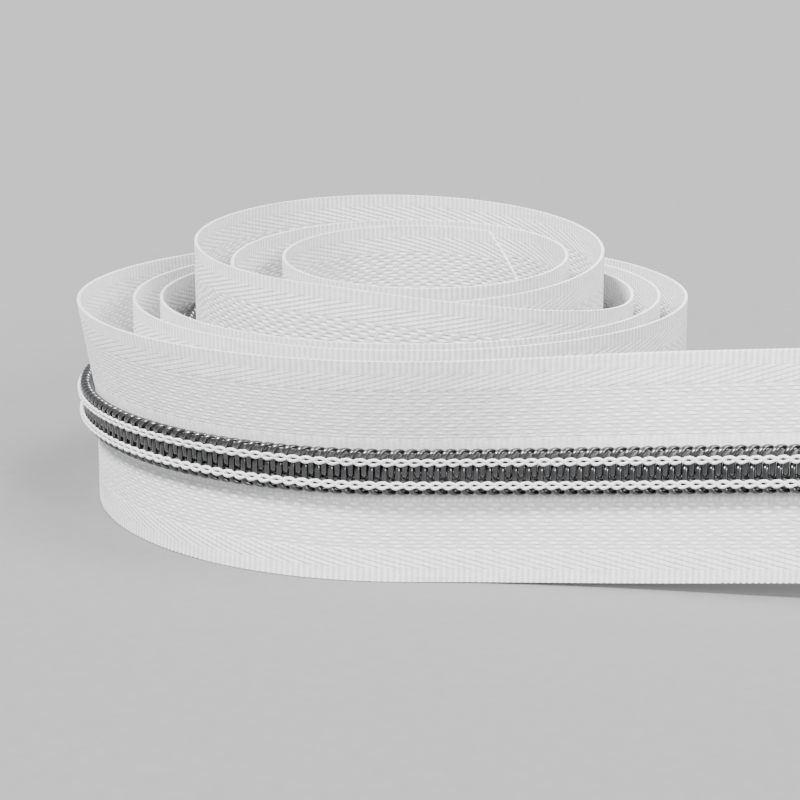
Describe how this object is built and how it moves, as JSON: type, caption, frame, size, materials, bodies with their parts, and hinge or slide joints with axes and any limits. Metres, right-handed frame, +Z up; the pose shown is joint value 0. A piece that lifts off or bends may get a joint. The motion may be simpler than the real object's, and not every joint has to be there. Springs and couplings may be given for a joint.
{
  "type": "coil zipper chain",
  "caption": "Closed coil zipper chain on woven tape, wound in a loose roll that stands on its edge, with a free tail and no slider.",
  "frame": {"origin": "on the resting plane, under the middle of the whole chain's outline", "axes": "+Z up, across the tape; +X along the free tail, away from the roll; -Y towards the teeth of the tail, the front"},
  "size_m": [0.1354, 0.1152, 0.0423],
  "materials": {
    "tape": "white woven polyester tape, matt with a faint sheen",
    "coil": "nylon monofilament with a bright gunmetal metallised skin",
    "core_cord": "dark grey twisted polyester filler cord",
    "needle_thread": "white polyester sewing thread",
    "looper_thread": "white polyester sewing thread"
  },
  "bodies": {
    "roll": {"roll_lower_coil": "coil", "roll_lower_core_cord": "core_cord", "roll_lower_looper_thread": "looper_thread", "roll_lower_needle_thread": "needle_thread", "roll_lower_tape": "tape", "roll_upper_coil": "coil", "roll_upper_core_cord": "core_cord", "roll_upper_looper_thread": "looper_thread", "roll_upper_needle_thread": "needle_thread", "roll_upper_tape": "tape", "core_lower_coil": "coil", "core_lower_core_cord": "core_cord", "core_lower_looper_thread": "looper_thread", "core_lower_needle_thread": "needle_thread", "core_lower_tape": "tape", "core_upper_coil": "coil", "core_upper_core_cord": "core_cord", "core_upper_looper_thread": "looper_thread", "core_upper_needle_thread": "needle_thread", "core_upper_tape": "tape"},
    "turn_a": {"turn_a_lower_coil": "coil", "turn_a_lower_core_cord": "core_cord", "turn_a_lower_looper_thread": "looper_thread", "turn_a_lower_needle_thread": "needle_thread", "turn_a_lower_tape": "tape", "turn_a_upper_coil": "coil", "turn_a_upper_core_cord": "core_cord", "turn_a_upper_looper_thread": "looper_thread", "turn_a_upper_needle_thread": "needle_thread", "turn_a_upper_tape": "tape"},
    "turn_b": {"turn_b_lower_coil": "coil", "turn_b_lower_core_cord": "core_cord", "turn_b_lower_looper_thread": "looper_thread", "turn_b_lower_needle_thread": "needle_thread", "turn_b_lower_tape": "tape", "turn_b_upper_coil": "coil", "turn_b_upper_core_cord": "core_cord", "turn_b_upper_looper_thread": "looper_thread", "turn_b_upper_needle_thread": "needle_thread", "turn_b_upper_tape": "tape"},
    "tail": {"tail_lower_coil": "coil", "tail_lower_core_cord": "core_cord", "tail_lower_looper_thread": "looper_thread", "tail_lower_needle_thread": "needle_thread", "tail_lower_tape": "tape", "tail_upper_coil": "coil", "tail_upper_core_cord": "core_cord", "tail_upper_looper_thread": "looper_thread", "tail_upper_needle_thread": "needle_thread", "tail_upper_tape": "tape"},
    "free_end": {"free_end_upper_coil": "coil", "free_end_upper_core_cord": "core_cord", "free_end_upper_looper_thread": "looper_thread", "free_end_upper_needle_thread": "needle_thread", "free_end_upper_tape": "tape"}
  },
  "joints": [
    {"name": "unroll_a", "type": "hinge", "parent": "roll", "child": "turn_a", "pos_m": [-0.06744, 0.0078, 0.016], "axis": [0, 0, -1], "range_deg": [0, 28]},
    {"name": "unroll_b", "type": "hinge", "parent": "turn_a", "child": "turn_b", "pos_m": [-0.05224, -0.0289, 0.016], "axis": [0, 0, -1], "range_deg": [0, 28]},
    {"name": "unroll_tail", "type": "hinge", "parent": "turn_b", "child": "tail", "pos_m": [-0.01554, -0.0441, 0.016], "axis": [0, 0, -1], "range_deg": [0, 28]},
    {"name": "part_free_end", "type": "hinge", "parent": "tail", "child": "free_end", "pos_m": [0.04628, -0.04739, 0.03494], "axis": [-0.2166, -0.9607, 0.1736], "range_deg": [0, 10]}
  ],
  "couplings": [
    {"joint": "unroll_b", "follows": "unroll_a", "ratio": 1},
    {"joint": "unroll_tail", "follows": "unroll_a", "ratio": 1}
  ]
}
